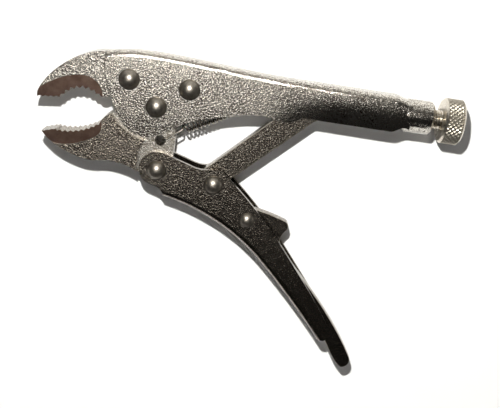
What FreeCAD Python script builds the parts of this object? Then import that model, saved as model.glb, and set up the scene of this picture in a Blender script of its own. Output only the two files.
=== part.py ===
import FreeCAD, Part
import math
import os

# Locking pliers with a curved jaw, lying on one side with the jaws open.
# Millimetres. X runs along the adjusting screw towards its knob, Y towards the
# spine of the upper handle, Z up. The origin is on the jaw pivot's axis, on the
# surface that the pliers lie on.

# ---- driving dimensions -------------------------------------------------------
SHEET = 1.3            # thickness of the pressed steel handles
CHANNEL_W = 7.8        # outside width of both handles at the jaws
FOLD_R = 2.0           # outside radius of the handles' folds
JAW_T = 7.4            # thickness of the jaw noses
TAIL_T = 5.0           # thickness of the jaws where a handle straddles them
LINK_T = 3.6
RELEASE_T = 3.0
TAIL_H = 3.05          # height of the rivets' flat backs, which the tool lies on
TAIL_INSET = 0.2       # how much smaller than the head a rivet's flat back is
FIT = 0.05             # running clearance round a pivot
SNUG = 0.02            # clearance round a rivet in the parts that it holds
GAP = 0.25             # air between an edge and the part that it passes
MID = CHANNEL_W / 2 + TAIL_H

JAW_PIVOT = (0.0, 0.0)
LEVER_PIVOT = (2.2, -19.3)
LINK_PIVOT = (20.0, -21.5)
RELEASE_PIVOT = (31.9, -31.2)
FRONT_RIVET = (-8.9, 7.1)
REAR_RIVET = (9.2, 6.6)
HEEL = (50.5, 8.0)     # centre of the toggle link's round end
SCREW_Y = 8.0          # height of the adjusting screw's axis in the side view

CLOSING = 16.3         # degrees that the lower jaw turns to meet the upper one
LEVER_GEAR = 2.9       # degrees of lever on the jaw for each degree of jaw

HOOK_HOLE = (2.2, -10.2)
HOOK_HOLE_R = 1.6
ANCHOR = (35.2, 7.5)   # where the spring's far end is held

BIG_RIVET = (3.2, 2.0, 2.5)      # head radius, shank radius, head height
MIDDLE_RIVET = (3.0, 1.9, 2.3)
SMALL_RIVET = (2.35, 1.4, 1.7)

HEEL_R = 3.3
SCREW_R = 3.0
THREAD_PITCH = 1.0
THREAD_DEPTH = 0.32
TIP_GAP = 1.25         # between the toggle link's heel and the screw's tip
SCREW_TIP = HEEL[0] + HEEL_R + TIP_GAP
TIP_LENGTH = 0.9       # of the cone at the screw's tip
TIP_R = 1.4
BARREL_R = 5.1
BARREL_START = 74.0
BARREL_END = 83.0
BARREL_EDGE = 0.7      # chamfer at the barrel's mouth
REAR_HALF = 4.6        # half width of the handle where it meets the barrel
BUSH_R = 3.8
KNOB_R = 6.9
KNOB_START = 85.9
KNOB_END = 92.0
KNOB_EDGE = 0.6        # chamfer on both of the knob's edges
NECK_R = 2.5           # the plain end of the screw that the knob is pinned on
NECK_DEPTH = 4.0

WIRE_R = 0.28
COIL_R = 1.95          # from the spring's axis to the middle of the wire
COIL_PITCH = 1.3
COIL_START = 8.4       # distance along the spring's axis from the hook hole
COIL_TURNS = 17
WIRE_BEND = 0.45
HOOK_BEND = (8.5, -5.9)          # where the front hook turns over the jaw
HOOK_HEIGHT = TAIL_T / 2 + 0.7   # of the hook over the mid-plane
EYE_REACH = 1.3        # of the rear end past the tongue, each way

BAND_DEPTH = 0.3       # how far the ground band beside the teeth is sunk
TOOTH_DEPTH = (0.7, 0.55)        # on the upper and on the lower jaw
NOSE_TOOTH_DEPTH = 0.25

TONGUE_T = 1.1         # the tongue that is bent in from the back cheek
TONGUE_SPAN = (-1.05, 1.85)      # its edges, from the spring's axis
EYE_R = 0.55           # the hole in the tongue for the spring's end

HIGH = 12.0            # half height of a tool that cuts right through


# ---- helpers ------------------------------------------------------------------
def vec(point, z=0.0):
    return FreeCAD.Vector(point[0], point[1], z)


def turned(point, centre, degrees):
    """The point turned about a centre in the side view."""
    angle = math.radians(degrees)
    dx, dy = point[0] - centre[0], point[1] - centre[1]
    return (centre[0] + dx * math.cos(angle) - dy * math.sin(angle),
            centre[1] + dx * math.sin(angle) + dy * math.cos(angle))


def outline(start, *steps):
    """A closed face in the side view from lines, three-point arcs and smooth curves."""
    edges = []
    here = vec(start)
    for kind, *points in steps:
        stops = [vec(point) for point in points]
        if kind == "line":
            for stop in stops:
                edges.append(Part.makeLine(here, stop))
                here = stop
        elif kind == "arc":
            edges.append(Part.Arc(here, stops[0], stops[1]).toShape())
        else:
            curve = Part.BSplineCurve()
            curve.interpolate([here] + stops)
            edges.append(curve.toShape())
        here = stops[-1]
    if here.distanceToPoint(vec(start)) > 1e-6:
        edges.append(Part.makeLine(here, vec(start)))
    return Part.Face(Part.Wire(edges))


def slab(face, low, high):
    """The side-view face as a plate between two heights from the mid-plane."""
    plate = face.extrude(FreeCAD.Vector(0, 0, high - low))
    plate.translate(FreeCAD.Vector(0, 0, MID + low))
    return plate


def sides(face, low, high):
    """The same plate on both sides of the mid-plane."""
    return slab(face, low, high).fuse(slab(face, -high, -low))


def disc(centre, radius, low=-HIGH, high=HIGH):
    base = vec(centre, MID + low)
    return Part.makeCylinder(radius, high - low, base, FreeCAD.Vector(0, 0, 1))


def turned_slab(shape, centre, degrees):
    copy = shape.copy()
    copy.rotate(vec(centre), FreeCAD.Vector(0, 0, 1), degrees)
    return copy


def along_screw(profile):
    """A solid turned about the screw's axis from (x, radius) points."""
    points = [FreeCAD.Vector(x, SCREW_Y + radius, MID) for x, radius in profile]
    face = Part.Face(Part.makePolygon(points + [points[0]]))
    axis_point = FreeCAD.Vector(0, SCREW_Y, MID)
    return face.revolve(axis_point, FreeCAD.Vector(1, 0, 0), 360)


def grown(face, distance):
    """The face with its edge moved outwards, as smooth curves through the moved edge."""
    moved = face.makeOffset2D(distance, 0, False, False, False).OuterWire
    edges = []
    for edge in moved.OrderedEdges:
        points = edge.discretize(max(2, int(edge.Length / 1.2)))
        if edge.Orientation == "Reversed":
            points.reverse()
        if edges:
            points[0] = here
        else:
            start = points[0]
        here = points[-1]
        curve = Part.BSplineCurve()
        curve.interpolate(points)
        edges.append(curve.toShape())
    if here.distanceToPoint(start) > 1e-6:
        edges.append(Part.makeLine(here, start))
    return Part.Face(Part.Wire(edges))


def bent_wire(points, bend_radius):
    """A path of straight runs joined by tangent arcs."""
    edges = []
    here = points[0]
    for before, corner, after in zip(points, points[1:], points[2:]):
        inward = (before - corner).normalize()
        outward = (after - corner).normalize()
        half = inward.getAngle(outward) / 2
        reach = bend_radius / math.tan(half)
        start = corner + inward * reach
        end = corner + outward * reach
        middle_way = (inward + outward).normalize()
        middle = corner + middle_way * (bend_radius / math.sin(half) - bend_radius)
        edges.append(Part.makeLine(here, start))
        edges.append(Part.Arc(start, middle, end).toShape())
        here = end
    edges.append(Part.makeLine(here, points[-1]))
    return Part.Wire(edges)


def tube(path, radius):
    """A wire with eight flats along a path."""
    start = path.Edges[0].valueAt(path.Edges[0].FirstParameter)
    heading = path.Edges[0].tangentAt(path.Edges[0].FirstParameter)
    round_end = Part.makeCircle(radius, start, heading)
    ring = Part.makePolygon(round_end.discretize(9))
    return path.makePipeShell([ring], True, True)


def toothed(start, middle, end, count, depth):
    """Points of a saw edge along the arc through three points, tips on the arc."""
    arc = Part.Arc(vec(start), vec(middle), vec(end)).toShape().Curve
    centre = arc.Center
    first = arc.parameter(vec(start))
    last = arc.parameter(vec(end))
    if (last - first) > math.pi:
        last -= 2 * math.pi
    if (last - first) < -math.pi:
        last += 2 * math.pi
    points = []
    for index in range(count):
        tip = arc.value(first + (last - first) * (index + 1) / count)
        root = arc.value(first + (last - first) * (index + 0.5) / count)
        away = (root - centre).normalize()
        root = root + away * depth
        points.append((root.x, root.y))
        points.append((tip.x, tip.y))
    return points


# ---- outlines shared by several pieces -------------------------------------------
SPINE_TOP = [(-16.3, 14.3), (-11.5, 15.25), (-4.0, 15.8), (5.0, 15.6), (18.5, 14.8),
             (29.5, 14.05), (45.0, 13.75), (60.0, 13.65), (70.5, 13.6)]


LEVER_SPINE = [(4.9, -27.5), (20.6, -32.6), (38.0, -44.6), (60.9, -69.2)]


def handle_side():
    """The upper handle in the side view, up to where its barrel starts."""
    return outline(
        SPINE_TOP[0],
        ("curve", (-16.3, 9.6), (-15.2, 5.0), (-13.6, 0.8)),
        ("curve", (-11.9, -3.4), (-10.1, -5.8), (-7.6, -8.1), (-5.1, -9.3), (-2.8, -9.6),
         (-0.5, -9.1), (2.5, -7.6)),
        ("curve", (5.8, -5.7), (9.0, -3.9), (13.4, -2.0), (17.6, -0.8), (24.3, 0.9), (32.0, 1.9)),
        ("curve", (35.3, 1.5), (38.4, 1.0), (41.4, 1.7), (43.8, 3.1)),
        ("line", (70.6, 3.0)),
        ("curve", (72.0, 3.5), (73.4, 4.3), (76.0, 4.3)),
        ("line", (76.0, 12.6)),
        ("curve", (74.6, 12.7), (72.6, 13.3), (70.5, 13.6)),
        ("curve", *SPINE_TOP[-2::-1]),
    )


def spine_arcs(inset):
    """Start and arcs of the lower handle's fold, or of a line inset from it."""
    start, bend, joint, end = LEVER_SPINE
    first = Part.Arc(vec(start), vec(bend), vec(joint)).toShape().Curve
    centre = first.Center
    inward = (centre - vec(joint)).normalize()
    chord = vec(end) - vec(joint)
    radius = chord.Length ** 2 / (2 * chord.dot(inward))
    far_centre = vec(joint) + inward * radius
    middle = vec(joint) + chord * 0.5
    middle = far_centre + (middle - far_centre).normalize() * radius

    def moved(point, hub):
        place = point + (point - hub).normalize() * inset
        return (place.x, place.y)

    return (moved(vec(start), centre),
            ("arc", moved(vec(bend), centre), moved(vec(joint), centre)),
            ("arc", moved(middle, far_centre), moved(vec(end), far_centre)))


def lever_side():
    """The lower handle in the side view."""
    return outline(
        (2.2, -13.6),
        ("curve", (-1.0, -14.6), (-3.1, -17.5), (-2.9, -20.9), (-0.6, -23.5)),
        ("curve", (1.2, -24.1), (3.4, -24.9), (4.6, -26.1), LEVER_SPINE[0]),
        *spine_arcs(0)[1:],
        ("line", (62.7, -68.7)),
        ("curve", (63.8, -66.6), (63.3, -64.0), (60.5, -59.5)),
        ("curve", (56.3, -53.7), (49.7, -45.4), (43.5, -37.75), (35.0, -28.4), (27.55, -21.4)),
        ("curve", (25.1, -19.2), (22.6, -17.4), (20.1, -16.6), (17.7, -16.9)),
        ("curve", (14.3, -17.0), (10.95, -16.0), (7.4, -14.9), (4.6, -13.9), (2.2, -13.6)),
    )


def lever_hollow():
    """The inside of the lower handle, open towards the upper handle."""
    start, *arcs = spine_arcs(SHEET)
    return outline(
        (-8.0, -10.0),
        ("line", (-8.0, -29.0), (4.0, -29.0), (4.0, start[1]), start),
        *arcs,
        ("line", (63.5, -72.0), (72.0, -66.0), (40.0, -25.0), (22.0, -8.0)),
    )


def lower_jaw_side():
    """The whole lower jaw in the side view."""
    return outline(
        (-33.6, -12.1),
        ("line", *nose_teeth((-33.6, -12.1), (-29.3, -10.8), 3)),
        ("line", (-28.9, -11.5)),
        ("line", *toothed((-28.9, -11.5), (-23.2, -11.0), (-16.6, -7.9), 8, -TOOTH_DEPTH[1])),
        ("curve", (-16.0, -6.4), (-14.9, -5.0), (-12.1, -3.55)),
        ("curve", (-9.0, -2.0), (-6.6, 0.2), (-4.6, 0.6)),
        ("arc", (0.0, 4.64), (4.6, -0.6)),
        ("curve", (5.4, -3.4), (6.4, -6.6), (6.6, -10.2)),
        ("line", (6.6, -13.6)),
        ("curve", (6.9, -16.4), (7.2, -19.3)),
        ("arc", (2.2, -24.2), (-2.0, -21.9)),
        ("curve", (-3.6, -20.8), (-6.0, -19.7), (-8.9, -18.95), (-12.0, -18.55), (-15.5, -18.8)),
        ("curve", (-19.0, -19.1), (-22.5, -18.5), (-27.3, -16.8), (-29.7, -15.5), (-32.2, -13.7),
         (-33.6, -12.1)),
    )


def nose_teeth(start, end, count):
    """Fine teeth on the flat of a jaw's nose."""
    points = []
    dx, dy = end[0] - start[0], end[1] - start[1]
    length = math.hypot(dx, dy)
    for index in range(count):
        share = (index + 0.55) / count
        points.append((start[0] + dx * share + dy / length * NOSE_TOOTH_DEPTH,
                       start[1] + dy * share - dx / length * NOSE_TOOTH_DEPTH))
        share = (index + 1) / count
        points.append((start[0] + dx * share, start[1] + dy * share))
    return points


def upper_jaw_side():
    """The whole upper jaw in the side view, with the tail that the handle holds."""
    return outline(
        (-35.6, -1.9),
        ("curve", (-35.7, -0.8), (-35.5, 0.2)),
        ("curve", (-33.8, 3.3), (-31.4, 6.3), (-28.85, 8.7), (-25.8, 10.95), (-23.4, 12.25),
         (-21.0, 13.3), (-18.4, 14.05), (-16.7, 14.2)),
        ("line", (-16.6, 12.4)),
        ("curve", (-12.0, 12.9), (-4.0, 13.3), (5.0, 12.9)),
        ("curve", (10.5, 11.8), (13.4, 8.6), (13.0, 4.6), (10.6, 2.7)),
        ("curve", (8.0, 1.9), (6.2, 2.6), (4.2, 3.5)),
        ("arc", (0.0, 5.45), (-4.2, 3.5)),
        ("curve", (-8.0, 2.6), (-12.0, 1.5), (-14.4, 1.2)),
        ("curve", (-15.6, 0.7), (-16.5, 0.7), (-17.3, 1.4)),
        ("line", *toothed((-17.3, 1.4), (-21.9, 3.1), (-28.6, -0.3), 7, -TOOTH_DEPTH[0])),
        ("line", (-29.0, -1.2)),
        ("line", *nose_teeth((-29.0, -1.2), (-35.6, -1.9), 4)[:-1]),
    )


def upper_band_region():
    """What the upper jaw's ground band covers, from its ridge down past the teeth."""
    return outline(
        (-36.5, 0.6),
        ("curve", (-35.0, 1.2), (-33.2, 2.4), (-31.2, 3.6), (-28.6, 4.95), (-26.2, 5.8),
         (-23.8, 6.3), (-21.2, 6.3), (-19.1, 5.5), (-17.5, 4.1), (-16.6, 2.5), (-16.2, -0.5)),
        ("line", (-16.2, -5.0), (-37.0, -5.0)),
    )


def lower_band_region():
    """What the lower jaw's ground band covers."""
    return outline(
        (-35.0, -13.2),
        ("curve", (-32.6, -14.2), (-29.7, -15.3), (-27.0, -15.4), (-23.8, -14.75), (-21.1, -13.7),
         (-18.4, -12.3), (-16.3, -10.6), (-15.8, -9.3), (-16.0, -6.5)),
        ("line", (-17.5, -5.0), (-36.0, -8.0)),
    )


# ---- the pieces -------------------------------------------------------------------
def plan_prism(front, rear):
    """What lies between two walls that spread from front to rear half widths."""
    near = [(-30.0, front), (26.0, front)]
    spread = [(40.0, front + 0.2 * (rear - front)), (58.0, front + 0.75 * (rear - front)),
              (BARREL_START, rear)]
    edges = []
    for way in (1, -1):
        def at(point):
            return FreeCAD.Vector(point[0], -HIGH - 8, MID + way * point[1])
        level = FreeCAD.Vector(1, 0, 0)
        curve = Part.BSplineCurve()
        curve.interpolate(Points=[at(near[1])] + [at(point) for point in spread],
                          InitialTangent=level, FinalTangent=level)
        edges.append([Part.makeLine(at(near[0]), at(near[1])), curve.toShape(),
                      Part.makeLine(at(spread[-1]), at((90.0, rear)))])
    front_end = Part.makeLine(FreeCAD.Vector(-30, -HIGH - 8, MID + front),
                              FreeCAD.Vector(-30, -HIGH - 8, MID - front))
    rear_end = Part.makeLine(FreeCAD.Vector(90, -HIGH - 8, MID + rear),
                             FreeCAD.Vector(90, -HIGH - 8, MID - rear))
    loop = Part.Wire(Part.__sortEdges__(edges[0] + edges[1] + [front_end, rear_end]))
    return Part.Face(loop).extrude(FreeCAD.Vector(0, 2 * HIGH + 16, 0))


def fold_edges(shape, on_spine):
    """The long edges where a spine meets the two cheeks."""
    found = []
    for edge in shape.Edges:
        middle = edge.valueAt((edge.FirstParameter + edge.LastParameter) / 2)
        if abs(middle.z - MID) > CHANNEL_W / 4 and edge.Length > 2 * SHEET and on_spine(middle):
            found.append(edge)
    return found


def upper_handle():
    """The folded channel, widening at the rear into the barrel round the screw."""
    half = CHANNEL_W / 2
    spine_low = SPINE_TOP[-1][1] - SHEET / 2
    bore_start = BARREL_START - 4.0
    skin = slab(handle_side(), -HIGH, HIGH).common(plan_prism(half, REAR_HALF))
    spine = fold_edges(skin, lambda point: point.y > spine_low)
    skin = skin.Solids[0].makeFillet(FOLD_R, spine)
    barrel = along_screw([(71.0, 0.0), (71.0, 3.4), (75.2, BARREL_R),
                          (BARREL_END - BARREL_EDGE, BARREL_R),
                          (BARREL_END, BARREL_R - BARREL_EDGE), (BARREL_END, 0.0)])
    skin = skin.fuse(barrel)
    inner_spine = [(x, y - SHEET) for x, y in SPINE_TOP]
    inner_spine[0] = (-20.0, 12.6)
    inner_spine[-1] = (BARREL_START, 12.2)
    hollow_side = outline(inner_spine[0], ("curve", *inner_spine[1:]),
                          ("line", (BARREL_START, -18.0), (-20.0, -18.0)))
    hollow = slab(hollow_side, -HIGH, HIGH).common(plan_prism(half - SHEET, REAR_HALF - SHEET))
    clear = SCREW_R + 0.2
    bore = along_screw([(bore_start, 0.0), (bore_start, clear), (BARREL_START, clear),
                        (BARREL_START, BUSH_R), (BARREL_END + 1, BUSH_R), (BARREL_END + 1, 0.0)])
    body = skin.cut(hollow).cut(bore)
    for place, kind in ((FRONT_RIVET, BIG_RIVET), (REAR_RIVET, BIG_RIVET), (JAW_PIVOT, BIG_RIVET)):
        body = body.cut(disc(place, kind[1] + SNUG))
    slot, tang = spring_tang()
    return body.cut(slot).fuse(tang)


def spring_tang():
    """The window in the back cheek, and the tongue bent in from it to hold the spring."""
    x, y = ANCHOR
    back = MID - CHANNEL_W / 2
    low, high = TONGUE_SPAN
    reach = CHANNEL_W / 2 + EYE_R + 0.6
    front = x - TONGUE_T / 2
    opening = FreeCAD.Vector(front - reach + SHEET, y + low - GAP, back - SHEET)
    window = Part.makeBox(reach - SHEET + TONGUE_T / 2, high - low + 2 * GAP, 2.5 * SHEET, opening)
    tongue = Part.makeBox(TONGUE_T, high - low, reach, FreeCAD.Vector(front, y + low, back))
    eye = Part.makeCylinder(EYE_R, 3 * TONGUE_T, FreeCAD.Vector(x - 1.5 * TONGUE_T, y, MID),
                            FreeCAD.Vector(1, 0, 0))
    return window, tongue.cut(eye)


def lower_handle():
    """The squeezing lever, a channel with its fold on the outside of the grip."""
    half = CHANNEL_W / 2
    tail_x, tail_y = LEVER_SPINE[-1]
    skin = slab(lever_side(), -half, half)

    def on_fold(point):
        """Below the front of the lever, and on the outer side of its tail."""
        return point.y < -30 and point.x + point.y < tail_x + tail_y + 3

    spine = fold_edges(skin, on_fold)
    skin = skin.Solids[0].makeFillet(FOLD_R, spine)
    body = skin.cut(slab(lever_hollow(), SHEET - half, half - SHEET))
    for place, kind in ((LEVER_PIVOT, MIDDLE_RIVET), (LINK_PIVOT, MIDDLE_RIVET),
                        (RELEASE_PIVOT, SMALL_RIVET)):
        body = body.cut(disc(place, kind[1] + SNUG))
    return body


def cheek_relief():
    """Room for the upper handle's cheeks as the lower jaw swings between them."""
    edge = grown(handle_side(), GAP)
    cut = slab(edge, -HIGH, HIGH)
    for share in (0.25, 0.5, 0.75, 1.02):
        cut = cut.fuse(turned_slab(slab(edge, -HIGH, HIGH), JAW_PIVOT, CLOSING * share))
    return cut


def lever_relief():
    """Room for the lever's cheeks as it swings on the lower jaw."""
    edge = grown(lever_side(), GAP)
    swing = CLOSING * LEVER_GEAR
    cut = disc((3.3, -15.3), 7.2).fuse(disc(LEVER_PIVOT, 6.2))
    for share in (0.0, 0.35, 0.7, 1.02):
        cut = cut.fuse(turned_slab(slab(edge, -HIGH, HIGH), LEVER_PIVOT, swing * share))
    return cut


def fixed_jaw():
    """The upper jaw: a thick toothed nose and a thin tail between the cheeks."""
    side = upper_jaw_side()
    half = JAW_T / 2
    nose = slab(side, -half, half).cut(slab(grown(handle_side(), GAP), -HIGH, HIGH))
    nose = nose.cut(Part.makeBox(40, 40, 40, FreeCAD.Vector(-13.6, -10, -10)))
    band = sides(upper_band_region(), half - BAND_DEPTH, HIGH)
    body = nose.cut(band).fuse(slab(side, -TAIL_T / 2, TAIL_T / 2))
    for place in (FRONT_RIVET, REAR_RIVET):
        body = body.cut(disc(place, BIG_RIVET[1] + SNUG))
    return body


def movable_jaw():
    """The lower jaw, thinned where the two handles straddle it."""
    side = lower_jaw_side()
    half = JAW_T / 2
    nose = slab(side, -half, half).cut(cheek_relief()).cut(lever_relief())
    nose = nose.cut(Part.makeBox(40, 60, 40, FreeCAD.Vector(1.0, -30, -10)))
    band = sides(lower_band_region(), half - BAND_DEPTH, HIGH)
    body = nose.cut(band).fuse(slab(side, -TAIL_T / 2, TAIL_T / 2))
    body = body.cut(disc(JAW_PIVOT, BIG_RIVET[1] + FIT))
    body = body.cut(disc(LEVER_PIVOT, MIDDLE_RIVET[1] + FIT))
    return body.cut(disc(HOOK_HOLE, HOOK_HOLE_R))


def toggle_link():
    """The bar from the lever to the tip of the adjusting screw."""
    heel_x, heel_y = HEEL
    side = outline(
        (18.4, -15.7),
        ("line", (43.6, 9.0)),
        ("curve", (45.4, 10.4), (47.6, 11.2), (heel_x, heel_y + HEEL_R)),
        ("arc", (heel_x + HEEL_R * 0.9, heel_y + HEEL_R * 0.436),
         turned((heel_x + HEEL_R, heel_y), HEEL, -35)),
        ("curve", (51.4, 4.5), (47.6, 2.0)),
        ("line", (26.0, -18.6)),
        ("curve", (24.7, -20.2), (24.6, -22.6)),
        ("arc", (20.6, -26.0), (15.9, -23.4)),
        ("curve", (15.3, -20.2), (16.6, -17.4), (18.4, -15.7)),
    )
    bar = slab(side, -LINK_T / 2, LINK_T / 2)
    return bar.cut(disc(LINK_PIVOT, MIDDLE_RIVET[1] + FIT))


def release_lever():
    """The flat lever inside the lower handle, with a nub that pushes the link free."""
    side = outline(
        (28.2, -29.6),
        ("arc", (29.8, -28.0), (32.4, -27.7)),
        ("curve", (35.0, -28.2), (39.8, -29.3), (43.6, -30.5)),
        ("arc", (45.1, -31.6), (44.9, -33.6)),
        ("curve", (43.4, -37.6), (43.9, -39.6), (46.2, -42.0)),
        ("curve", (51.9, -48.3), (58.1, -55.0), (62.7, -60.4), (67.8, -67.1), (72.3, -74.1)),
        ("arc", (72.7, -76.9), (70.4, -78.5)),
        ("curve", (67.6, -75.9), (65.2, -72.3), (62.6, -68.2), (58.2, -61.6), (52.4, -54.6)),
        ("curve", (46.0, -47.6), (39.0, -40.6), (33.2, -35.9), (29.6, -33.7)),
        ("arc", (27.9, -31.6), (28.2, -29.6)),
    )
    plate = slab(side, -RELEASE_T / 2, RELEASE_T / 2)
    return plate.cut(disc(RELEASE_PIVOT, SMALL_RIVET[1] + FIT))


def adjusting_screw():
    """The threaded shank, its domed tip in the handle and its plain end in the knob."""
    root = SCREW_R - THREAD_DEPTH
    x = SCREW_TIP + TIP_LENGTH
    profile = [(SCREW_TIP, 0.0), (SCREW_TIP, TIP_R), (x, root)]
    while x + THREAD_PITCH < KNOB_START:
        profile.append((x + THREAD_PITCH * 0.35, SCREW_R))
        profile.append((x + THREAD_PITCH * 0.6, SCREW_R))
        x += THREAD_PITCH
        profile.append((x, root))
    profile += [(KNOB_START - FIT, root), (KNOB_START - FIT, NECK_R),
                (KNOB_START + NECK_DEPTH, NECK_R), (KNOB_START + NECK_DEPTH, 0.0)]
    return along_screw(profile)


def screw_bush():
    """The threaded bush that the handle's rolled end is crimped round."""
    bore = SCREW_R + FIT
    return along_screw([(BARREL_START, bore), (BARREL_START, BUSH_R), (BARREL_END - 0.1, BUSH_R),
                        (BARREL_END - 0.1, bore + 0.3), (BARREL_END - 0.4, bore)])


def adjusting_knob():
    """The knob, with the blind hole that the screw is pinned in."""
    edge = KNOB_EDGE
    depth = NECK_DEPTH + 2 * FIT
    hole = NECK_R + FIT
    return along_screw([(KNOB_START, hole), (KNOB_START, KNOB_R - edge), (KNOB_START + edge, KNOB_R),
                        (KNOB_END - edge, KNOB_R), (KNOB_END, KNOB_R - edge), (KNOB_END, 0.0),
                        (KNOB_START + depth, 0.0), (KNOB_START + depth, hole)])


def return_spring():
    """The pull spring: a coil with a hook through the jaw and one through the tongue."""
    start = vec(HOOK_HOLE, MID)
    anchor = vec(ANCHOR, MID)
    along = (anchor - start).normalize()
    across = FreeCAD.Vector(-along.y, along.x, 0)
    up = FreeCAD.Vector(0, 0, 1)
    ahead = FreeCAD.Vector(1, 0, 0)
    coil_length = COIL_PITCH * COIL_TURNS
    coil_start = start + along * COIL_START
    coil = Part.makeLongHelix(COIL_PITCH, coil_length, COIL_R)
    coil.Placement = FreeCAD.Placement(coil_start, FreeCAD.Rotation(across, up, along, "ZXY"))
    front_end = coil_start + across * COIL_R
    rear_end = front_end + along * coil_length
    over = up * HOOK_HEIGHT
    bite = start + along * HOOK_HOLE_R * 0.55
    hook = bent_wire([front_end - up * WIRE_R, vec(HOOK_BEND, MID) + over * 0.86,
                      start + along * (HOOK_HOLE_R + 1.0) + over, bite + over,
                      bite - up * (TAIL_T / 2 + 1.0)], WIRE_BEND)
    tail = bent_wire([rear_end, rear_end + along * 1.1 - across * 0.2,
                      anchor - ahead * EYE_REACH, anchor + ahead * EYE_REACH,
                      anchor + ahead * EYE_REACH + up * 1.5], WIRE_BEND)
    body = tube(coil, WIRE_R).fuse(tube(hook, WIRE_R)).fuse(tube(tail, WIRE_R))
    for joint in (front_end, rear_end):
        body = body.fuse(Part.makeSphere(WIRE_R, joint))
    return body


def rivet(centre, kind):
    """A domed head in front, a shank, and a back peened flat."""
    head, shank, height = kind
    front = CHANNEL_W / 2
    back = -front
    floor = back - TAIL_H
    ball = (head ** 2 + height ** 2) / (2 * height)
    slope = math.acos((ball - height) / ball) / 2
    tail = head - TAIL_INSET

    def at(radius, z):
        return FreeCAD.Vector(radius, 0, z)

    shoulder = at(ball * math.sin(slope), front + height - ball + ball * math.cos(slope))
    edges = [
        Part.Arc(at(head, front), shoulder, at(0, front + height)).toShape(),
        Part.makeLine(at(0, front + height), at(0, floor)),
        Part.makeLine(at(0, floor), at(tail * 0.62, floor)),
        Part.Arc(at(tail * 0.62, floor), at(tail * 0.9, back - TAIL_H * 0.68), at(tail, back)).toShape(),
        Part.makeLine(at(tail, back), at(shank, back)),
        Part.makeLine(at(shank, back), at(shank, front)),
        Part.makeLine(at(shank, front), at(head, front)),
    ]
    body = Part.Face(Part.Wire(edges)).revolve(at(0, 0), FreeCAD.Vector(0, 0, 1), 360)
    body.translate(vec(centre, MID))
    return body


PIECES = {
    "upper_handle": upper_handle,
    "fixed_jaw": fixed_jaw,
    "movable_jaw": movable_jaw,
    "lower_handle": lower_handle,
    "toggle_link": toggle_link,
    "release_lever": release_lever,
    "adjusting_screw": adjusting_screw,
    "screw_bush": screw_bush,
    "adjusting_knob": adjusting_knob,
    "return_spring": return_spring,
}

RIVETS = {
    "front_jaw_rivet": (FRONT_RIVET, BIG_RIVET),
    "rear_jaw_rivet": (REAR_RIVET, BIG_RIVET),
    "jaw_pivot_rivet": (JAW_PIVOT, BIG_RIVET),
    "lever_pivot_rivet": (LEVER_PIVOT, MIDDLE_RIVET),
    "link_pivot_rivet": (LINK_PIVOT, MIDDLE_RIVET),
    "release_pivot_rivet": (RELEASE_PIVOT, SMALL_RIVET),
}


def main():
    os.makedirs("parts", exist_ok=True)
    shapes = {name: build() for name, build in PIECES.items()}
    for name, (place, kind) in RIVETS.items():
        shapes[name] = rivet(place, kind)
    for name, shape in shapes.items():
        solid = shape.removeSplitter().Solids[0]
        print(name, "valid", solid.isValid(), "volume", round(solid.Volume, 1))
        solid.exportStep("parts/" + name + ".step")


main()
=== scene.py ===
"""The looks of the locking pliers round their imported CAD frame: plated steel, knurl, thread and spring."""

import math

import bmesh
import bpy
from mathutils import Matrix, Vector


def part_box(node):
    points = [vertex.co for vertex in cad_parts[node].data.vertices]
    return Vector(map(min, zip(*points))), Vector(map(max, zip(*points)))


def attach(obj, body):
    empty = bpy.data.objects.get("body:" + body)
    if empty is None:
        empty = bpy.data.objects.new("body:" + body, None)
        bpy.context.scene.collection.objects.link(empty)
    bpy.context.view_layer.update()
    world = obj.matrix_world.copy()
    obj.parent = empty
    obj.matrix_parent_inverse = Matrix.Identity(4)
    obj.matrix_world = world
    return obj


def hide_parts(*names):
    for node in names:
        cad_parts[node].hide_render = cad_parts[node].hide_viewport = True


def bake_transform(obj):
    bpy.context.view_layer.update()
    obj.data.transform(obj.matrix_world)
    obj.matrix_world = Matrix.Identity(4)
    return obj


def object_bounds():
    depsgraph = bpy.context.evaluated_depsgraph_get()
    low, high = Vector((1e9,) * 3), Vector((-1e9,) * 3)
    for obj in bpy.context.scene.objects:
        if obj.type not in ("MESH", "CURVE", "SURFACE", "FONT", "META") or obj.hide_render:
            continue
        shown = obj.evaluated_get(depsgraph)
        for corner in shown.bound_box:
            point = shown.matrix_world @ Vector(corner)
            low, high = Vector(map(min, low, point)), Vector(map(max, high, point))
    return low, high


MM = 0.001

# The mid-plane of the tool, the screw's axis and the spring's ends, as the CAD has them.
MID = 6.95 * MM
SCREW_Y = 8.0 * MM
HOOK_HOLE = Vector((2.2, -10.2, 6.95)) * MM
HOLE_R = 1.6 * MM
ANCHOR = Vector((35.2, 7.5, 6.95)) * MM
EYE_REACH = 1.3 * MM

# The spring: its wire, its coil, and the hook that comes up through the hole and over the jaw.
WIRE_R = 0.31 * MM
WIRE_SIDES = 10
WIRE_BEND = 0.45 * MM
BEND_STEPS = 6
WIRE_TIP = 0.6
COIL_R = 1.7 * MM
COIL_LIFT = 0.8 * MM
COIL_PITCH = 1.3 * MM
COIL_START = 8.4 * MM
COIL_TURNS = 17
COIL_STEPS = 20
HOOK_BEND = Vector((8.5, -5.9, 6.95)) * MM
HOOK_HEIGHT = 3.2 * MM
HOOK_SAG = 0.86
HOOK_BITE = 0.55
HOOK_OVERHANG = 1.0 * MM
EYE_LEAD = (1.1 * MM, -0.2 * MM)
EYE_END = 1.5 * MM

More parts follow.
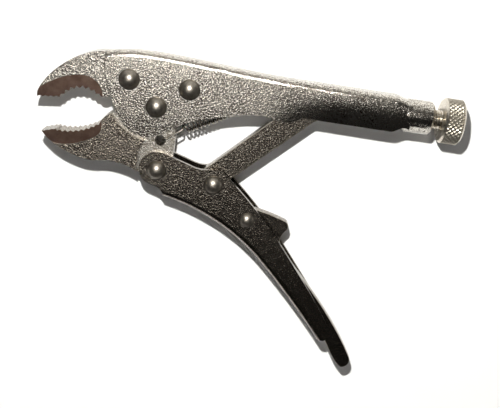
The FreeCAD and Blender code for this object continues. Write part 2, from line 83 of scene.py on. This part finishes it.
# The screw and the knob.
SCREW_R = 3.0 * MM
TIP_R = 1.4 * MM
TIP_LENGTH = 0.9 * MM
THREAD_PITCH = 1.0 * MM
THREAD_DEPTH = 0.32 * MM
THREAD_FLANK = 1.35
THREAD_FLAT = 0.1
THREAD_STEPS = 10
SCREW_SIDES = 48
NECK_R = 2.5 * MM
NECK_START = 0.05 * MM
KNOB_EDGE = 0.6 * MM
KNURLS = 30
KNURL_DEPTH = 0.36 * MM
KNURL_CREST = 1.6
KNURL_FADE = 0.2 * MM
KNURL_STEPS = 36
KNURL_SIDES = 8
SHARP = 0.01 * MM

# Heights over the mid-plane of the jaws' ground bands and of their thin tails.
BAND_LEVEL = 3.4 * MM
TAIL_LEVEL = 2.5 * MM
LEVEL_SLACK = 0.02 * MM

# How far the sharp edges of each piece are broken.
HANDLE_EDGE = 0.32 * MM
LEVER_EDGE = 0.55 * MM
LINK_EDGE = 0.3 * MM
PLATE_EDGE = 0.25 * MM
JAW_EDGE = 0.2 * MM

# Grain of the blasted steel under the plate, and the tones of the plate.
PIT_SIZE = 0.40 * MM
SPARKLE = (0.80, 0.77, 0.71)
NICKEL = (0.60, 0.565, 0.495)
WARM_NICKEL = (0.54, 0.495, 0.425)
# Darker copies of the plate's nickel and sparkle: painted shade for the lower jaw, the lever, the link and
# the release plate, which mirror less light than the handle and the upper jaw.
SHADED_JAW_NICKEL = (0.34, 0.30, 0.25)
SHADED_NICKEL = (0.16, 0.142, 0.116)
SHADED_SPARKLE = (0.46, 0.42, 0.36)
PIT_BROWN = (0.06, 0.046, 0.037)
GROUND_BROWN = (0.10, 0.062, 0.048)

# How the handle's cheeks are pressed: from nearly flat in front of the waist to a crown over the
# barrel, with the height of the crown's ridge and how strongly it bends, per metre.
WAIST = (30 * MM, 62 * MM)
RIDGE_Y = 10.7 * MM
CROWN = (2.0, 75.0)

# The camera, and what lights the stage.
CAMERA_AT = Vector((21.5, 45.9, 247.95)) * MM
CAMERA_AIM = Vector((32.3, -27.0, 6.95)) * MM
CAMERA_RIGHT = Vector((0.989, 0.146, 0.0))
LENS = 57.6
LAMP_AT = Vector((0.0, 97.0, 202.0)) * MM
LAMP_R = 5.0 * MM
LAMP_POWER = 58.0
ROOM = 0.015
FLOOR_REACH = 1.5
PANEL_AT = Vector((60.0, 480.0, 170.0)) * MM
PANEL_SIZE = (0.9, 0.34)
PANEL_LIGHT = 0.6

# Each softbox: two corners, in millimetres, of the part of the mid-plane that mirrors it to the
# camera, and how many times the common light it gives.
SOFTBOX_HEIGHT = 0.60
SOFTBOX_LIGHT = 1.6
SOFTBOXES = (("broad_softbox", (-8, 0), (44, 42), 1),
             ("spine_softbox", (-34, 18), (46, 40), 5),
             ("waist_softbox", (25, 5), (42, 18), 12))


# ---- materials --------------------------------------------------------------------
def new_material(name):
    """A metal whose shader is still bare."""
    material = bpy.data.materials.new(name)
    material.use_nodes = True
    tree = material.node_tree
    shader = tree.nodes["Principled BSDF"]
    shader.inputs["Metallic"].default_value = 1.0
    return material, tree, shader


def mapped(tree, scale=(1, 1, 1), turn=0.0):
    """Coordinates of the piece itself, stretched and turned about Z."""
    where = tree.nodes.new("ShaderNodeTexCoord")
    mapping = tree.nodes.new("ShaderNodeMapping")
    mapping.inputs["Scale"].default_value = scale
    mapping.inputs["Rotation"].default_value = (0, 0, turn)
    tree.links.new(where.outputs["Object"], mapping.inputs["Vector"])
    return mapping.outputs["Vector"]


def noise(tree, vector, size, detail, roughness):
    """Cloudy noise, 0 to 1, with features of one size."""
    node = tree.nodes.new("ShaderNodeTexNoise")
    node.inputs["Scale"].default_value = 1.0 / size
    node.inputs["Detail"].default_value = detail
    node.inputs["Roughness"].default_value = roughness
    tree.links.new(vector, node.inputs["Vector"])
    return node.outputs["Fac"]


def pits(tree, vector, size):
    """Rounded pits of one size, 0 in their middle."""
    node = tree.nodes.new("ShaderNodeTexVoronoi")
    node.feature = "SMOOTH_F1"
    node.inputs["Scale"].default_value = 1.0 / size
    node.inputs["Smoothness"].default_value = 0.6
    tree.links.new(vector, node.inputs["Vector"])
    return node.outputs["Distance"]


def ramp(tree, value, stops):
    """A colour ramp over (place, colour) stops."""
    node = tree.nodes.new("ShaderNodeValToRGB")
    while len(node.color_ramp.elements) < len(stops):
        node.color_ramp.elements.new(0.5)
    for element, (place, colour) in zip(node.color_ramp.elements, stops):
        element.position = place
        element.color = (*colour, 1.0)
    tree.links.new(value, node.inputs["Fac"])
    return node.outputs["Color"]


def ranged(tree, value, low, high, to_low, to_high, kind="LINEAR"):
    """A value taken from one range to another, and held at its ends."""
    node = tree.nodes.new("ShaderNodeMapRange")
    node.interpolation_type = kind
    limits = (("From Min", low), ("From Max", high), ("To Min", to_low), ("To Max", to_high))
    for slot, number in limits:
        node.inputs[slot].default_value = number
    tree.links.new(value, node.inputs["Value"])
    return node.outputs["Result"]


def mixed(tree, factor, first, second):
    """Two colours mixed by a factor that a texture gives."""
    node = tree.nodes.new("ShaderNodeMix")
    node.data_type = "RGBA"
    tree.links.new(factor, node.inputs["Factor"])
    for slot, colour in (("A", first), ("B", second)):
        socket = next(s for s in node.inputs if s.name == slot and s.type == "RGBA")
        if isinstance(colour, tuple):
            socket.default_value = (*colour, 1.0)
        else:
            tree.links.new(colour, socket)
    return next(s for s in node.outputs if s.type == "RGBA")


def bumped(tree, height, distance, strength, under=None):
    """The surface's normal with a height pattern on it, over another bump if there is one."""
    node = tree.nodes.new("ShaderNodeBump")
    node.inputs["Distance"].default_value = distance
    node.inputs["Strength"].default_value = strength
    tree.links.new(height, node.inputs["Height"])
    if under is not None:
        tree.links.new(under, node.inputs["Normal"])
    return node.outputs["Normal"]


def maths(tree, operation, first, second):
    """One step of arithmetic on two values or sockets."""
    node = tree.nodes.new("ShaderNodeMath")
    node.operation = operation
    for socket, value in zip(node.inputs, (first, second)):
        if isinstance(value, (int, float)):
            socket.default_value = value
        else:
            tree.links.new(value, socket)
    return node.outputs["Value"]


def crown(tree, vector):
    """Height of the handle's cheeks: nearly flat over the jaw, rounded towards the barrel."""
    split = tree.nodes.new("ShaderNodeSeparateXYZ")
    tree.links.new(vector, split.inputs["Vector"])
    x, y = split.outputs["X"], split.outputs["Y"]
    off = maths(tree, "SUBTRACT", y, RIDGE_Y)
    bend = ranged(tree, x, *WAIST, *CROWN, "SMOOTHERSTEP")
    square = maths(tree, "MULTIPLY", off, off)
    return maths(tree, "MULTIPLY", square, maths(tree, "MULTIPLY", bend, -0.5))


def blasted_steel(name, bright, dark, depth, rough, sparkle=SPARKLE, crowned=False):
    """Nickel over grit-blasted steel: bright grains, brown pits, worn a little unevenly."""
    material, tree, shader = new_material(name)
    vector = mapped(tree)
    grain = noise(tree, vector, PIT_SIZE, 2.0, 0.6)
    hollow = pits(tree, vector, PIT_SIZE * 1.2)
    patches = noise(tree, vector, 9 * MM, 2.0, 0.5)
    speckle = ramp(tree, grain, [(0.44, dark), (0.50, bright), (0.57, sparkle)])
    worn = ranged(tree, patches, 0.4, 0.7, 0.0, 0.35)
    gloss = ranged(tree, grain, 0.35, 0.6, rough + 0.22, rough)
    tree.links.new(mixed(tree, worn, speckle, bright), shader.inputs["Base Color"])
    tree.links.new(gloss, shader.inputs["Roughness"])
    under = bumped(tree, crown(tree, vector), 1.0, 1.0) if crowned else None
    first = bumped(tree, hollow, depth * 0.6, 1.0, under)
    tree.links.new(bumped(tree, grain, depth, 1.0, first), shader.inputs["Normal"])
    return material


def ground_steel(name, bright, dark, rough, turn=0.0, depth=0.02 * MM):
    """A ground face: fine scratches one way, with plate worn to a darker tone."""
    material, tree, shader = new_material(name)
    scratches = noise(tree, mapped(tree, (1.0, 0.06, 0.06), turn), 0.12 * MM, 3.0, 0.65)
    patches = noise(tree, mapped(tree), 3.5 * MM, 3.0, 0.6)
    colour = mixed(tree, ranged(tree, patches, 0.35, 0.65, 0.0, 1.0), dark, bright)
    gloss = ranged(tree, scratches, 0.3, 0.7, rough - 0.05, rough + 0.12)
    tree.links.new(colour, shader.inputs["Base Color"])
    tree.links.new(gloss, shader.inputs["Roughness"])
    tree.links.new(bumped(tree, scratches, depth, 0.6), shader.inputs["Normal"])
    return material


def polished_steel(name, colour, dark, rough):
    """A polished surface under the plate, with faint tumbling marks."""
    material, tree, shader = new_material(name)
    vector = mapped(tree)
    marks = noise(tree, vector, 0.8 * MM, 4.0, 0.6)
    fine = noise(tree, vector, 0.16 * MM, 2.0, 0.5)
    gloss = ranged(tree, fine, 0.3, 0.7, rough - 0.04, rough + 0.07)
    tree.links.new(ramp(tree, marks, [(0.3, dark), (0.62, colour)]), shader.inputs["Base Color"])
    tree.links.new(gloss, shader.inputs["Roughness"])
    tree.links.new(bumped(tree, fine, 0.01 * MM, 0.5), shader.inputs["Normal"])
    return material


def floor_material():
    """A plain pale sheet with the faintest unevenness."""
    material, tree, shader = new_material("pale_sheet")
    shader.inputs["Metallic"].default_value = 0.0
    shader.inputs["Specular IOR Level"].default_value = 0.0
    shader.inputs["Roughness"].default_value = 0.9
    cloud = noise(tree, mapped(tree), 0.3, 1.0, 0.5)
    pale = ramp(tree, cloud, [(0.3, (0.88, 0.88, 0.88)), (0.7, (0.9, 0.9, 0.9))])
    tree.links.new(pale, shader.inputs["Base Color"])
    return material


# ---- pieces -----------------------------------------------------------------------
def add_piece(name, mesh, slot, body, *materials):
    """A mesh in the scene, riding on one body."""
    piece = bpy.data.objects.new(name, mesh)
    bpy.context.scene.collection.objects.link(piece)
    for material in materials:
        mesh.materials.append(material)
    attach(piece, body)
    return piece


def softened(node, name, width, slot, body, *materials):
    """The CAD node's own shape with its sharp edges broken; the last material is for those edges."""
    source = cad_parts[node]
    mesh = bpy.data.meshes.new(name)
    edit = bmesh.new()
    edit.from_mesh(source.data)
    bmesh.ops.remove_doubles(edit, verts=edit.verts, dist=0.5e-6)
    bmesh.ops.dissolve_limit(edit, angle_limit=math.radians(0.3), verts=edit.verts, edges=edit.edges)
    edit.to_mesh(mesh)
    edit.free()
    mesh.materials.clear()
    for material in materials:
        mesh.materials.append(material)
    mesh.polygons.foreach_set("use_smooth", [True] * len(mesh.polygons))
    rough = bpy.data.objects.new(name + "_rough", mesh)
    bpy.context.scene.collection.objects.link(rough)
    bevel = rough.modifiers.new("edges", "BEVEL")
    bevel.width = width
    bevel.segments = 3
    bevel.limit_method = "ANGLE"
    bevel.angle_limit = math.radians(38)
    bevel.use_clamp_overlap = True
    bevel.material = len(materials) - 1
    weight = rough.modifiers.new("flats", "WEIGHTED_NORMAL")
    weight.weight = 100
    weight.keep_sharp = True
    graph = bpy.context.evaluated_depsgraph_get()
    final = bpy.data.meshes.new_from_object(rough.evaluated_get(graph))
    bpy.data.objects.remove(rough)
    final.name = name
    piece = add_piece(name, final, slot, body)
    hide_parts(node)
    return piece


def mark_ground_faces(piece, levels):
    """Gives the faces at each height from the mid-plane a material slot of their own."""
    for face in piece.data.polygons:
        height = abs(face.center.z - MID)
        for level, slot in levels:
            if abs(height - level) < LEVEL_SLACK and abs(face.normal.z) > 0.98:
                face.material_index = slot


def mark_front_edge(piece, edge_slot, seam_shade_slot):
    """The edge of the handle that meets the jaw is painted dark: painted shade for the gap between handle
    and jaw.
    """
    for face in piece.data.polygons:
        if face.material_index == edge_slot and face.normal.x < -0.25 and face.normal.z > 0.1:
            face.material_index = seam_shade_slot


def turned_mesh(name, stations, around, radius):
    """A skin round the screw's axis; radius(x, angle) gives its distance from the axis."""
    mesh = bpy.data.meshes.new(name)
    edit = bmesh.new()
    rings = []
    for station in stations:
        ring = []
        for step in range(around):
            angle = 2 * math.pi * step / around
            reach = radius(station, angle)
            ring.append(edit.verts.new((station, SCREW_Y + reach * math.cos(angle),
                                        MID + reach * math.sin(angle))))
        rings.append(ring)
    for here, there in zip(rings, rings[1:]):
        for step in range(around):
            after = (step + 1) % around
            edit.faces.new((here[step], there[step], there[after], here[after]))
    for ring in (rings[0], rings[-1]):
        edit.faces.new(ring)
    bmesh.ops.recalc_face_normals(edit, faces=edit.faces)
    edit.to_mesh(mesh)
    edit.free()
    mesh.polygons.foreach_set("use_smooth", [True] * len(mesh.polygons))
    mesh.set_sharp_from_angle(angle=math.radians(35))
    return mesh


def knurled_knob(material, face_material):
    """The knob with a diamond knurl on its rim and turned faces."""
    low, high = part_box("adjusting_knob")
    full = (high.z - low.z) / 2
    width = high.x - low.x
    band = width - 2 * KNOB_EDGE
    pitch = 2 * math.pi * full / KNURLS

    def wave(value):
        return abs(value - math.floor(value) - 0.5) * 2

    def radius(x, angle):
        inside = x - low.x - KNOB_EDGE
        if inside < 0:
            return full + inside
        if inside > band:
            return full - (inside - band)
        across = angle / (2 * math.pi) * KNURLS
        along = inside / pitch
        ridge = min(wave(across + along), wave(across - along))
        edge = min(1.0, inside / KNURL_FADE, (band - inside) / KNURL_FADE)
        return full - KNURL_DEPTH * (1 - min(1.0, ridge * KNURL_CREST)) * max(edge, 0.0)

    stations = [low.x, low.x + KNOB_EDGE - SHARP]
    stations += [low.x + KNOB_EDGE + band * step / KNURL_STEPS for step in range(KNURL_STEPS + 1)]
    stations += [high.x - KNOB_EDGE + SHARP, high.x]
    mesh = turned_mesh("knurled_knob", stations, KNURLS * KNURL_SIDES, radius)
    piece = add_piece("knurled_knob", mesh, "knurled_knob", "knob", material, face_material)
    for face in mesh.polygons:
        inside = face.center.x - low.x
        if inside < KNOB_EDGE or inside > width - KNOB_EDGE:
            face.material_index = 1
    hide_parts("adjusting_knob")
    return piece


def threaded_screw(material):
    """The screw with a true helical thread, its coned tip and the neck that the knob holds."""
    low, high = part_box("adjusting_screw")
    root = SCREW_R - THREAD_DEPTH
    thread_start = low.x + TIP_LENGTH
    thread_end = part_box("adjusting_knob")[0].x - NECK_START

    def radius(x, angle):
        if x <= thread_start:
            return TIP_R + (root - TIP_R) * (x - low.x) / (thread_start - low.x)
        if x > thread_end:
            return NECK_R
        turn = (x - thread_start) / THREAD_PITCH - angle / (2 * math.pi)
        share = abs(turn - math.floor(turn) - 0.5) * 2
        fade = min(1.0, (x - thread_start) / THREAD_PITCH)
        return root + THREAD_DEPTH * min(1.0, max(0.0, THREAD_FLANK * share - THREAD_FLAT)) * fade

    length = thread_end - thread_start
    count = int(length / THREAD_PITCH * THREAD_STEPS)
    stations = [low.x]
    stations += [thread_start + length * step / count for step in range(count + 1)]
    stations += [thread_end + SHARP / 10, high.x]
    mesh = turned_mesh("threaded_screw", stations, SCREW_SIDES, radius)
    piece = add_piece("threaded_screw", mesh, "screw_thread", "screw", material)
    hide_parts("adjusting_screw")
    return piece


def rounded_path(points, bend):
    """Straight runs joined by arcs of one bend radius."""
    path = [points[0]]
    for before, corner, after in zip(points, points[1:], points[2:]):
        back = (before - corner).normalized()
        ahead = (after - corner).normalized()
        half = back.angle(ahead) / 2
        reach = bend / math.tan(half)
        hub = corner + (back + ahead).normalized() * (bend / math.sin(half))
        first = corner + back * reach - hub
        last = corner + ahead * reach - hub
        for step in range(BEND_STEPS + 1):
            way = first.lerp(last, step / BEND_STEPS).normalized()
            path.append(hub + way * bend)
    path.append(points[-1])
    return path


def wire_mesh(name, path, radius, sides):
    """A round wire along a path, with rounded ends."""
    mesh = bpy.data.meshes.new(name)
    edit = bmesh.new()
    heading = (path[1] - path[0]).normalized()
    side = heading.orthogonal().normalized()
    rings = []
    last = len(path) - 1
    for index, point in enumerate(path):
        ahead = (path[min(index + 1, last)] - path[max(index - 1, 0)]).normalized()
        side = (side - ahead * side.dot(ahead)).normalized()
        other = ahead.cross(side)
        ring = []
        for step in range(sides):
            angle = 2 * math.pi * step / sides
            way = side * math.cos(angle) + other * math.sin(angle)
            ring.append(edit.verts.new(point + way * radius))
        rings.append(ring)
    for here, there in zip(rings, rings[1:]):
        for step in range(sides):
            after = (step + 1) % sides
            edit.faces.new((here[step], here[after], there[after], there[step]))
    ends = ((rings[0], path[0], path[1]), (rings[-1], path[-1], path[-2]))
    for ring, point, behind in ends:
        tip = edit.verts.new(point + (point - behind).normalized() * radius * WIRE_TIP)
        for step in range(sides):
            edit.faces.new((ring[step], ring[(step + 1) % sides], tip))
    bmesh.ops.recalc_face_normals(edit, faces=edit.faces)
    edit.to_mesh(mesh)
    edit.free()
    mesh.polygons.foreach_set("use_smooth", [True] * len(mesh.polygons))
    return mesh


def pull_spring(material):
    """The coil with its two hooks, the front one through the jaw's hole; the coil stays clear of the link.
    """
    along = (ANCHOR - HOOK_HOLE).normalized()
    across = Vector((-along.y, along.x, 0))
    up = Vector((0, 0, 1))
    ahead = Vector((1, 0, 0))
    coil_start = HOOK_HOLE + along * COIL_START + across * COIL_LIFT
    bite = HOOK_HOLE + along * HOLE_R * HOOK_BITE
    front = coil_start + across * COIL_R
    rear = front + along * COIL_PITCH * COIL_TURNS
    hook = [bite - up * (TAIL_LEVEL + HOOK_OVERHANG), bite + up * HOOK_HEIGHT,
            HOOK_HOLE + along * (HOLE_R + HOOK_OVERHANG) + up * HOOK_HEIGHT,
            HOOK_BEND + up * HOOK_HEIGHT * HOOK_SAG, front - up * WIRE_R]
    eye = ANCHOR + ahead * EYE_REACH
    tail = [rear, rear + along * EYE_LEAD[0] + across * EYE_LEAD[1], ANCHOR - ahead * EYE_REACH,
            eye, eye + up * EYE_END]
    path = rounded_path(hook, WIRE_BEND)
    for step in range(1, COIL_TURNS * COIL_STEPS):
        angle = 2 * math.pi * step / COIL_STEPS
        forward = along * COIL_PITCH * step / COIL_STEPS
        way = across * math.cos(angle) + up * math.sin(angle)
        path.append(coil_start + forward + way * COIL_R)
    path += rounded_path(tail, WIRE_BEND)
    piece = bpy.data.objects.new("pull_spring", wire_mesh("pull_spring", path, WIRE_R, WIRE_SIDES))
    bpy.context.scene.collection.objects.link(piece)
    piece.data.materials.append(material)
    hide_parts("return_spring")
    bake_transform(piece)
    return piece


def repaint(node, material):
    """A CAD node that keeps its own shape takes a new finish."""
    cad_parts[node].material_slots[0].material = material


# ---- stage ------------------------------------------------------------------------
def add_floor(low):
    """A wide pale sheet at the height of the tool's lowest face."""
    mesh = bpy.data.meshes.new("floor")
    reach = FLOOR_REACH
    corners = [(-reach, -reach, low), (reach, -reach, low), (reach, reach, low), (-reach, reach, low)]
    mesh.from_pydata(corners, [], [(0, 1, 2, 3)])
    floor = bpy.data.objects.new("floor", mesh)
    bpy.context.scene.collection.objects.link(floor)
    mesh.materials.append(floor_material())


def add_lamp():
    """The small lamp above the tool. Its light falls off no faster than the floor turns from it."""
    lamp = bpy.data.lights.new("lamp", "POINT")
    lamp.shadow_soft_size = LAMP_R
    lamp.color = (1.0, 0.985, 0.95)
    lamp.energy = 1.0
    lamp.use_nodes = True
    tree = lamp.node_tree
    falloff = tree.nodes.new("ShaderNodeLightFalloff")
    falloff.inputs["Strength"].default_value = LAMP_POWER
    tree.links.new(falloff.outputs["Constant"], tree.nodes["Emission"].inputs["Strength"])
    holder = bpy.data.objects.new("lamp", lamp)
    holder.location = LAMP_AT
    holder.visible_camera = False
    bpy.context.scene.collection.objects.link(holder)


def add_softbox(name, low, high, light):
    """A diffuser overhead, from the part of the tool's mid-plane that mirrors it to the camera."""
    lift = (SOFTBOX_HEIGHT - MID) / (CAMERA_AT.z - MID)
    low = Vector(low) * MM
    high = Vector(high) * MM
    eye = CAMERA_AT.xy
    near = low + (low - eye) * lift
    far = high + (high - eye) * lift
    size = far - near
    lamp = bpy.data.lights.new(name, "AREA")
    lamp.shape = "RECTANGLE"
    lamp.size = size.x
    lamp.size_y = size.y
    lamp.energy = light * math.pi * size.x * size.y
    lamp.color = (1.0, 0.98, 0.95)
    holder = bpy.data.objects.new(name, lamp)
    holder.location = (*((near + far) / 2), SOFTBOX_HEIGHT)
    holder.visible_camera = False
    bpy.context.scene.collection.objects.link(holder)


def add_rim_panel():
    """A low panel beyond the spine, for the edges that face it."""
    lamp = bpy.data.lights.new("rim_panel", "AREA")
    lamp.shape = "RECTANGLE"
    lamp.size, lamp.size_y = PANEL_SIZE
    lamp.energy = PANEL_LIGHT * math.pi * lamp.size * lamp.size_y
    lamp.color = (1.0, 0.98, 0.93)
    holder = bpy.data.objects.new("rim_panel", lamp)
    holder.location = PANEL_AT
    holder.rotation_euler = (CAMERA_AIM - PANEL_AT).to_track_quat("-Z", "Y").to_euler()
    holder.visible_camera = False
    bpy.context.scene.collection.objects.link(holder)


def add_lights():
    """The lamp, the softboxes and the panel."""
    add_lamp()
    for name, low, high, share in SOFTBOXES:
        add_softbox(name, low, high, SOFTBOX_LIGHT * share)
    add_rim_panel()


def add_world():
    """A dim room, paler for the camera so that the stage stays plain."""
    world = bpy.data.worlds.new("room")
    bpy.context.scene.world = world
    world.use_nodes = True
    tree = world.node_tree
    room = tree.nodes["Background"]
    room.inputs["Color"].default_value = (1.0, 0.97, 0.93, 1.0)
    room.inputs["Strength"].default_value = ROOM
    pale = tree.nodes.new("ShaderNodeBackground")
    pale.inputs["Color"].default_value = (0.97, 0.97, 0.97, 1.0)
    chooser = tree.nodes.new("ShaderNodeMixShader")
    path = tree.nodes.new("ShaderNodeLightPath")
    tree.links.new(path.outputs["Is Camera Ray"], chooser.inputs["Fac"])
    tree.links.new(room.outputs["Background"], chooser.inputs[1])
    tree.links.new(pale.outputs["Background"], chooser.inputs[2])
    tree.links.new(chooser.outputs["Shader"], tree.nodes["World Output"].inputs["Surface"])


def add_camera():
    """The camera high over the tool, turned a little about its own axis."""
    camera = bpy.data.objects.new("camera", bpy.data.cameras.new("camera"))
    camera.data.lens = LENS
    camera.data.sensor_width = 36.0
    camera.data.clip_start = 0.01
    back = (CAMERA_AT - CAMERA_AIM).normalized()
    right = (CAMERA_RIGHT - back * CAMERA_RIGHT.dot(back)).normalized()
    up = back.cross(right)
    turn = Matrix((right, up, back)).transposed().to_4x4()
    camera.matrix_world = Matrix.Translation(CAMERA_AT) @ turn
    bpy.context.scene.collection.objects.link(camera)
    bpy.context.scene.camera = camera


# ---- the scene --------------------------------------------------------------------
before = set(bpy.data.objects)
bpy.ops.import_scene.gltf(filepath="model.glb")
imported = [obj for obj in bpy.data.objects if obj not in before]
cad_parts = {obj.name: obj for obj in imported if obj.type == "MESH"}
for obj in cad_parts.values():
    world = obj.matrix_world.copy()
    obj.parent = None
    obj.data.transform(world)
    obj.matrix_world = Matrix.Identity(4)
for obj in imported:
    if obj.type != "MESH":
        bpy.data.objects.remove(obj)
cad_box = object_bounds()

handle_steel = blasted_steel("handle_steel", NICKEL, PIT_BROWN, 0.08 * MM, 0.11, crowned=True)
# The lever's steel is a darker copy of the handle's nickel: painted shade.
lever_steel = blasted_steel("lever_steel", SHADED_NICKEL, PIT_BROWN, 0.07 * MM, 0.09, SHADED_SPARKLE)
jaw_steel = blasted_steel("jaw_steel", NICKEL, PIT_BROWN, 0.09 * MM, 0.12)
# A dark finish for the handle's front edge: painted shade for the gap where the handle meets the jaw.
seam_shade_steel = ground_steel("seam_shade_steel", (0.10, 0.085, 0.07), (0.05, 0.04, 0.032), 0.45)
rim_steel = ground_steel("rim_steel", NICKEL, WARM_NICKEL, 0.30)
worn_rim = ground_steel("worn_rim", WARM_NICKEL, (0.30, 0.26, 0.21), 0.30)
# The lower jaw's steel is a darker copy of the jaw steel: painted shade.
shaded_jaw_steel = blasted_steel("shaded_jaw_steel", SHADED_JAW_NICKEL, PIT_BROWN, 0.07 * MM, 0.12, SHADED_SPARKLE)
# The link and the release plate take the same darker nickel: painted shade.
link_steel = blasted_steel("link_steel", SHADED_NICKEL, PIT_BROWN, 0.08 * MM, 0.10, SHADED_SPARKLE)
plate_steel = blasted_steel("plate_steel", SHADED_NICKEL, PIT_BROWN, 0.06 * MM, 0.10, SHADED_SPARKLE)
band_steel = ground_steel("band_steel", (0.15, 0.10, 0.078), GROUND_BROWN, 0.34, turn=1.45, depth=0.06 * MM)
recess_steel = blasted_steel("recess_steel", NICKEL, (0.2, 0.17, 0.13), 0.04 * MM, 0.22)
rivet_steel = polished_steel("rivet_steel", (0.36, 0.33, 0.285), (0.22, 0.195, 0.165), 0.36)
knurl_steel = ground_steel("knurl_steel", (0.46, 0.425, 0.36), (0.36, 0.325, 0.27), 0.34)
turned_steel = ground_steel("turned_steel", NICKEL, (0.58, 0.53, 0.46), 0.26)
thread_steel = polished_steel("thread_steel", NICKEL, (0.45, 0.40, 0.33), 0.2)
wire_steel = polished_steel("wire_steel", (0.66, 0.62, 0.55), WARM_NICKEL, 0.18)

shell = softened("upper_handle", "handle_shell", HANDLE_EDGE, "pressed_handle", "handle",
                 handle_steel, seam_shade_steel, rim_steel)
# The handle's front edge takes the painted shade of the gap against the jaw.
mark_front_edge(shell, edge_slot=2, seam_shade_slot=1)
# The lever's faces carry that painted shade; its broken edges keep the plain nickel finish.
softened("lower_handle", "lever_shell", LEVER_EDGE, "pressed_handle", "lever", lever_steel, rim_steel)
softened("toggle_link", "link_bar", LINK_EDGE, "link_bar", "link", link_steel, worn_rim)
softened("release_lever", "release_plate", PLATE_EDGE, "release_plate", "release", plate_steel, worn_rim)
# The upper jaw takes the plain jaw steel, the lower jaw its darker copy, which is painted shade.
for jaw_node, jaw_name, jaw_body, forged_steel in (("fixed_jaw", "upper_jaw", "handle", jaw_steel),
                                                   ("movable_jaw", "lower_jaw", "jaw", shaded_jaw_steel)):
    jaw = softened(jaw_node, jaw_name, JAW_EDGE, "forged_jaw", jaw_body,
                   forged_steel, band_steel, recess_steel, worn_rim)
    mark_ground_faces(jaw, ((BAND_LEVEL, 1), (TAIL_LEVEL, 2)))
knurled_knob(knurl_steel, turned_steel)
threaded_screw(thread_steel)
pull_spring(wire_steel)
repaint("screw_bush", thread_steel)
for rivet_node in ("front_jaw_rivet", "rear_jaw_rivet", "jaw_pivot_rivet", "lever_pivot_rivet",
                   "link_pivot_rivet", "release_pivot_rivet"):
    repaint(rivet_node, rivet_steel)

add_floor(cad_box[0].z)
add_lights()
add_world()
add_camera()
bpy.context.scene.view_settings.view_transform = "Standard"
